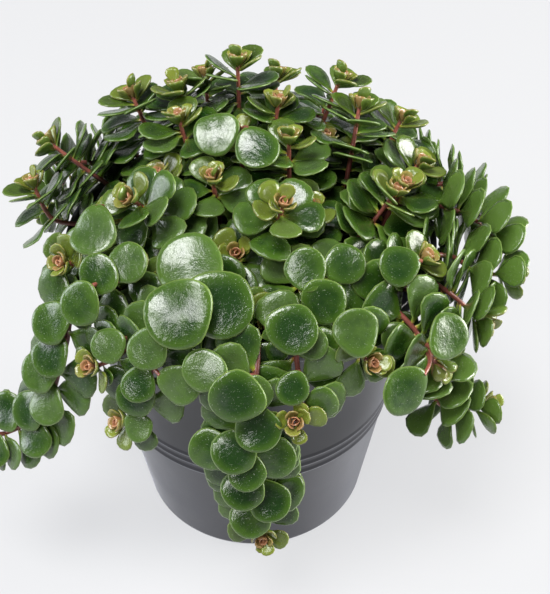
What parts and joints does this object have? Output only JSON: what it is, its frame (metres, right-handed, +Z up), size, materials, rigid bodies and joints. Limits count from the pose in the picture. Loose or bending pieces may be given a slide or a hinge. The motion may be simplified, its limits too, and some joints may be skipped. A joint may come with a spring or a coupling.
{
  "type": "potted sedum",
  "caption": "Small trailing sedum with round glossy leaves, mounding over the rim of a ringed, tapering plastic pot.",
  "frame": {"origin": "centre of the pot's flat underside", "axes": "+Z up along the pot's axis; the front, with the longest trailing shoot, is -Y; +X is to the right"},
  "size_m": [0.1741, 0.1655, 0.1615],
  "materials": {
    "pot_plastic": "satin anthracite, injection moulded",
    "peat": "dark, crumbly potting peat",
    "foliage": "waxy dark green leaves with pale margins on pink-brown stems"
  },
  "bodies": {
    "root": {"pot": "pot_plastic", "soil": "peat", "crown_back": "foliage", "crown_back_left": "foliage", "crown_back_right": "foliage", "crown_right": "foliage", "crown_middle": "foliage", "crown_left": "foliage", "crown_centre": "foliage", "crown_rear": "foliage", "crown_front": "foliage", "crown_front_right": "foliage", "inner_front": "foliage", "inner_right": "foliage", "inner_front_right": "foliage", "inner_left": "foliage", "inner_back": "foliage", "right_inner": "foliage", "back_left_high": "foliage", "back_left_top": "foliage", "back_high": "foliage", "back_right_high": "foliage", "back_mid_left": "foliage", "back_trailer_left": "foliage", "back_trailer": "foliage", "back_left_low": "foliage", "back_right_low": "foliage", "left_high": "foliage", "left": "foliage", "left_crown": "foliage", "left_low": "foliage", "left_broad": "foliage", "left_front": "foliage", "left_trailer": "foliage", "left_skirt": "foliage", "front_left_inner": "foliage", "front_left_low": "foliage", "front_left_trailer": "foliage", "front_broad": "foliage", "front_trailer": "foliage", "front_middle": "foliage", "front_low": "foliage", "front_right_crown": "foliage", "front_right_low": "foliage", "right_crown": "foliage", "right_front": "foliage", "right_trailer_high": "foliage", "right_trailer": "foliage", "right_lobe": "foliage", "right_front_low": "foliage", "right_low_trailer": "foliage", "right_skirt": "foliage", "right_back": "foliage", "right_back_low": "foliage"}
  },
  "joints": []
}
